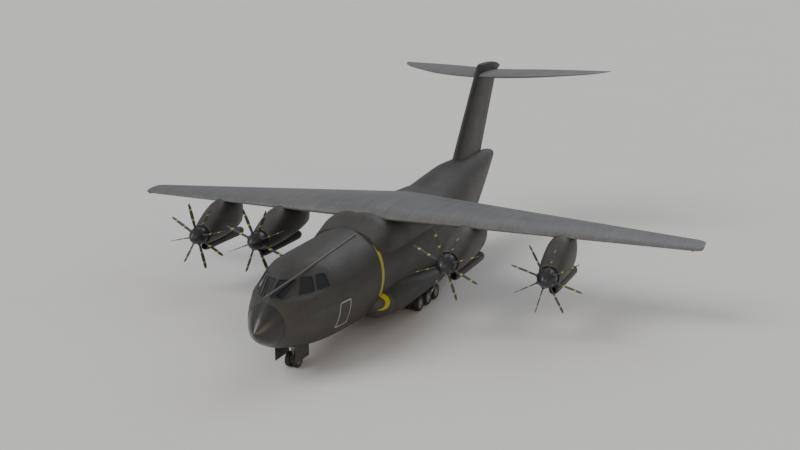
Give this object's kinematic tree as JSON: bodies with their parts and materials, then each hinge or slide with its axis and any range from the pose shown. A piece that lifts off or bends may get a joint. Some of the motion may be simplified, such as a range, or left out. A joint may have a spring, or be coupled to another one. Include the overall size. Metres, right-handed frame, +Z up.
{
  "type": "four-engine turboprop military transport plane, scale model at 1:2",
  "caption": "High-wing transport plane with swept T-tail, turboprop engines, hollow hold with loading ramp, and landing gear down.",
  "frame": {"origin": "centre of the bounding box on the ground, between the wing tips and midway from nose tip to tailplane tips", "axes": "+X to port, +Y aft, +Z up"},
  "size_m": [21.2, 22, 7.34],
  "materials": {
    "hull_paint": "matte",
    "composite_paint": "matte",
    "radome_paint": "satin",
    "cockpit_glass": "polished",
    "cabin_floor": "satin",
    "cabin_trim": "matte",
    "blade_composite": "satin",
    "engine_block": "satin",
    "gear_steel": "satin",
    "tyre_rubber": "matte"
  },
  "bodies": {
    "root": {"radome": "radome_paint", "fuselage_nose": "hull_paint", "fuselage_centre": "hull_paint", "fuselage_rear": "hull_paint", "nose_gear_bay": "hull_paint", "window_front_port": "cockpit_glass", "window_front_starboard": "cockpit_glass", "window_side_port": "cockpit_glass", "window_side_starboard": "cockpit_glass", "window_rear_port": "cockpit_glass", "window_rear_starboard": "cockpit_glass", "cargo_floor": "cabin_floor", "flight_deck": "cabin_trim", "wing_centre": "composite_paint", "wing_fairing": "composite_paint", "fin": "composite_paint", "fin_cap": "composite_paint", "tailplane": "composite_paint", "refuelling_probe": "composite_paint", "wing_port": "composite_paint", "sponson_port": "composite_paint", "nose_gear_door_port": "composite_paint", "main_legs_port": "gear_steel", "wing_starboard": "composite_paint", "sponson_starboard": "composite_paint", "nose_gear_door_starboard": "composite_paint", "main_legs_starboard": "gear_steel", "nacelle_port_outer": "composite_paint", "engine_port_outer": "engine_block", "nacelle_port_inner": "composite_paint", "engine_port_inner": "engine_block", "nacelle_starboard_inner": "composite_paint", "engine_starboard_inner": "engine_block", "nacelle_starboard_outer": "composite_paint", "engine_starboard_outer": "engine_block", "nose_leg": "gear_steel"},
    "propeller_port_outer": {"propeller_port_outer": "blade_composite"},
    "propeller_port_inner": {"propeller_port_inner": "blade_composite"},
    "propeller_starboard_inner": {"propeller_starboard_inner": "blade_composite"},
    "propeller_starboard_outer": {"propeller_starboard_outer": "blade_composite"},
    "nose_steering": {"nose_fork": "gear_steel"},
    "nose_wheels": {"nose_wheels": "tyre_rubber"},
    "main_wheels_port_1": {"main_wheels_port_1": "tyre_rubber"},
    "main_wheels_port_2": {"main_wheels_port_2": "tyre_rubber"},
    "main_wheels_port_3": {"main_wheels_port_3": "tyre_rubber"},
    "main_wheels_starboard_1": {"main_wheels_starboard_1": "tyre_rubber"},
    "main_wheels_starboard_2": {"main_wheels_starboard_2": "tyre_rubber"},
    "main_wheels_starboard_3": {"main_wheels_starboard_3": "tyre_rubber"},
    "cargo_ramp": {"cargo_ramp": "hull_paint"},
    "cargo_door": {"cargo_door": "hull_paint"},
    "crew_door": {"crew_door": "hull_paint"},
    "flap_inner_port": {"flap_inner_port": "composite_paint"},
    "flap_outer_port": {"flap_outer_port": "composite_paint"},
    "aileron_port": {"aileron_port": "composite_paint"},
    "elevator_port": {"elevator_port": "composite_paint"},
    "flap_inner_starboard": {"flap_inner_starboard": "composite_paint"},
    "flap_outer_starboard": {"flap_outer_starboard": "composite_paint"},
    "aileron_starboard": {"aileron_starboard": "composite_paint"},
    "elevator_starboard": {"elevator_starboard": "composite_paint"},
    "rudder": {"rudder": "composite_paint"}
  },
  "joints": [
    {"name": "propeller_spin_port_outer", "type": "hinge", "parent": "root", "child": "propeller_port_outer", "pos_m": [6.355, -4.13, 2.19], "axis": [0, 1, 0], "continuous": true},
    {"name": "propeller_spin_port_inner", "type": "hinge", "parent": "root", "child": "propeller_port_inner", "pos_m": [3.385, -5.1, 2.565], "axis": [0, 1, 0], "continuous": true},
    {"name": "propeller_spin_starboard_inner", "type": "hinge", "parent": "root", "child": "propeller_starboard_inner", "pos_m": [-3.385, -5.1, 2.565], "axis": [0, 1, 0], "continuous": true},
    {"name": "propeller_spin_starboard_outer", "type": "hinge", "parent": "root", "child": "propeller_starboard_outer", "pos_m": [-6.355, -4.13, 2.19], "axis": [0, 1, 0], "continuous": true},
    {"name": "nose_wheel_steering", "type": "hinge", "parent": "root", "child": "nose_steering", "pos_m": [0, -8.775, 0.49], "axis": [0, 0, 1], "range_deg": [-75, 75]},
    {"name": "nose_wheel_roll", "type": "hinge", "parent": "nose_steering", "child": "nose_wheels", "pos_m": [0, -8.775, 0.235], "axis": [1, 0, 0], "continuous": true},
    {"name": "main_wheel_roll_port_1", "type": "hinge", "parent": "root", "child": "main_wheels_port_1", "pos_m": [1.3, -2.575, 0.2725], "axis": [1, 0, 0], "continuous": true},
    {"name": "main_wheel_roll_port_2", "type": "hinge", "parent": "root", "child": "main_wheels_port_2", "pos_m": [1.3, -1.85, 0.2725], "axis": [1, 0, 0], "continuous": true},
    {"name": "main_wheel_roll_port_3", "type": "hinge", "parent": "root", "child": "main_wheels_port_3", "pos_m": [1.3, -1.125, 0.2725], "axis": [1, 0, 0], "continuous": true},
    {"name": "main_wheel_roll_starboard_1", "type": "hinge", "parent": "root", "child": "main_wheels_starboard_1", "pos_m": [-1.3, -2.575, 0.2725], "axis": [1, 0, 0], "continuous": true},
    {"name": "main_wheel_roll_starboard_2", "type": "hinge", "parent": "root", "child": "main_wheels_starboard_2", "pos_m": [-1.3, -1.85, 0.2725], "axis": [1, 0, 0], "continuous": true},
    {"name": "main_wheel_roll_starboard_3", "type": "hinge", "parent": "root", "child": "main_wheels_starboard_3", "pos_m": [-1.3, -1.125, 0.2725], "axis": [1, 0, 0], "continuous": true},
    {"name": "cargo_ramp_lower", "type": "hinge", "parent": "root", "child": "cargo_ramp", "pos_m": [0, 2.65, 0.718], "axis": [-1, 0, 0], "range_deg": [0, 33]},
    {"name": "cargo_door_lift", "type": "hinge", "parent": "root", "child": "cargo_door", "pos_m": [0, 7.8, 2.942], "axis": [-1, 0, 0], "range_deg": [0, 20]},
    {"name": "crew_door_open", "type": "hinge", "parent": "root", "child": "crew_door", "pos_m": [1.14174, -7.92, 1.205], "axis": [0.1411, 0.99, 0], "range_deg": [0, 120]},
    {"name": "flap_inner_port_turn", "type": "hinge", "parent": "root", "child": "flap_inner_port", "pos_m": [2.9125, -1.07638, 3.41457], "axis": [-0.9961, -0.0573, 0.0668], "range_deg": [0, 35]},
    {"name": "flap_outer_port_turn", "type": "hinge", "parent": "root", "child": "flap_outer_port", "pos_m": [5.8375, -0.90802, 3.21853], "axis": [-0.9961, -0.0573, 0.0668], "range_deg": [0, 35]},
    {"name": "aileron_port_turn", "type": "hinge", "parent": "root", "child": "aileron_port", "pos_m": [8.7375, -0.74109, 3.02417], "axis": [-0.9961, -0.0573, 0.0668], "range_deg": [-25, 25]},
    {"name": "elevator_port_turn", "type": "hinge", "parent": "root", "child": "elevator_port", "pos_m": [1.825, 9.73029, 6.88546], "axis": [-0.9434, -0.3316, 0.001], "range_deg": [-25, 25]},
    {"name": "flap_inner_starboard_turn", "type": "hinge", "parent": "root", "child": "flap_inner_starboard", "pos_m": [-2.9125, -1.07638, 3.41457], "axis": [-0.9961, 0.0573, -0.0668], "range_deg": [0, 35]},
    {"name": "flap_outer_starboard_turn", "type": "hinge", "parent": "root", "child": "flap_outer_starboard", "pos_m": [-5.8375, -0.90802, 3.21853], "axis": [-0.9961, 0.0573, -0.0668], "range_deg": [0, 35]},
    {"name": "aileron_starboard_turn", "type": "hinge", "parent": "root", "child": "aileron_starboard", "pos_m": [-8.7375, -0.74109, 3.02417], "axis": [-0.9961, 0.0573, -0.0668], "range_deg": [-25, 25]},
    {"name": "elevator_starboard_turn", "type": "hinge", "parent": "root", "child": "elevator_starboard", "pos_m": [-1.825, 9.73029, 6.88546], "axis": [-0.9434, 0.3316, -0.001], "range_deg": [-25, 25]},
    {"name": "rudder_turn", "type": "hinge", "parent": "root", "child": "rudder", "pos_m": [0, 7.90685, 5.38], "axis": [0, 0.5329, 0.8462], "range_deg": [-25, 25]}
  ]
}
